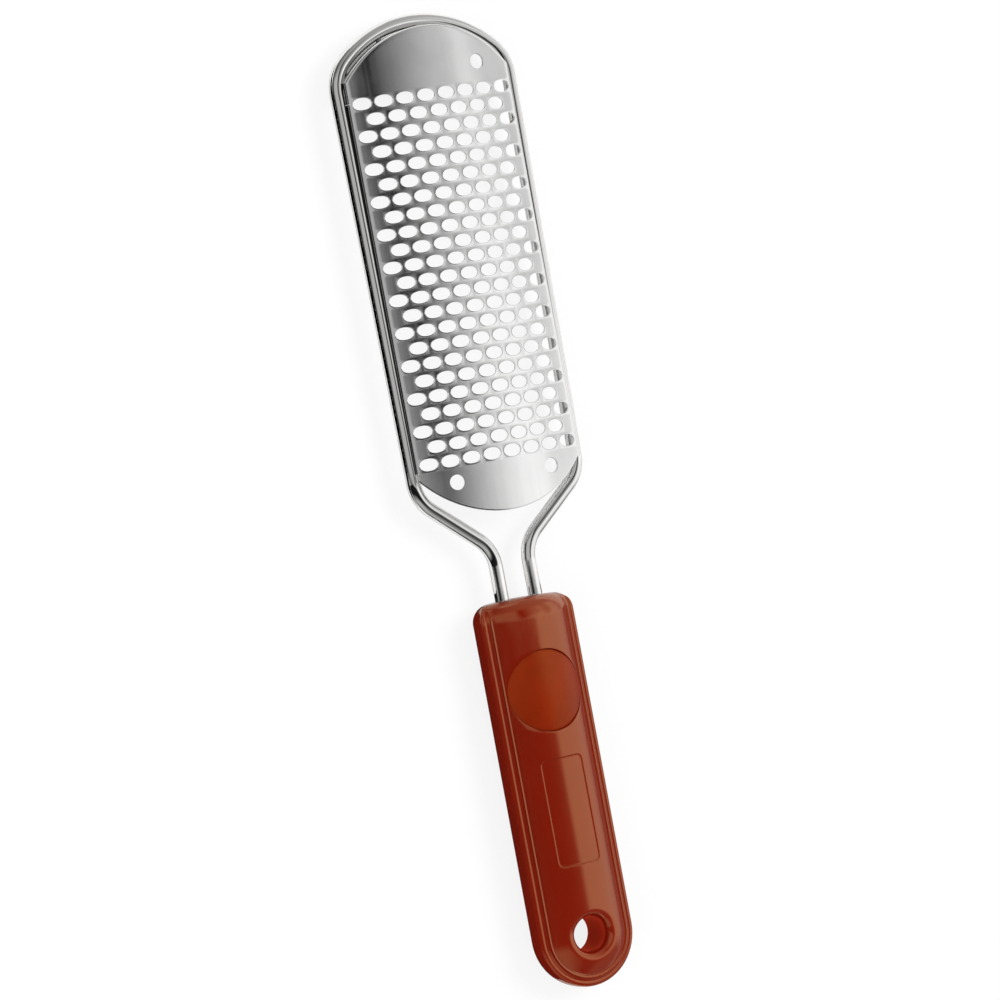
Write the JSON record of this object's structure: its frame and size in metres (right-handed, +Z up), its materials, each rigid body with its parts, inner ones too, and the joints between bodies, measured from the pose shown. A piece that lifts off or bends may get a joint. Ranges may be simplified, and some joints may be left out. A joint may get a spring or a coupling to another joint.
{
  "type": "foot file",
  "caption": "Foot file: a crowned perforated rasp plate welded on a bent wire frame, with a two-part plastic handle, thumb rest and hanging hole.",
  "frame": {"origin": "on the resting plane, in the middle of the length and of the width; the file lies on its back with the rasp plate up", "axes": "+X across the file, +Y along it from the handle's tail to the tip of the wire arch, +Z up, out of the rasp plate's face"},
  "size_m": [0.0546, 0.258, 0.0147],
  "materials": {
    "wire_steel": "polished stainless wire",
    "plate_steel": "fine brushed stainless sheet",
    "weld_steel": "dull weld metal",
    "anchor_steel": "plain steel",
    "handle_plastic": "satin-gloss moulding",
    "pad_plastic": "matt moulding",
    "screw_steel": "zinc-plated steel"
  },
  "bodies": {
    "root": {"wire_frame": "wire_steel", "rasp_plate": "plate_steel", "weld_spots": "weld_steel", "leg_anchor": "anchor_steel", "back_shell": "handle_plastic", "front_cover": "handle_plastic", "thumb_pad": "pad_plastic", "cover_screws": "screw_steel"}
  },
  "joints": []
}
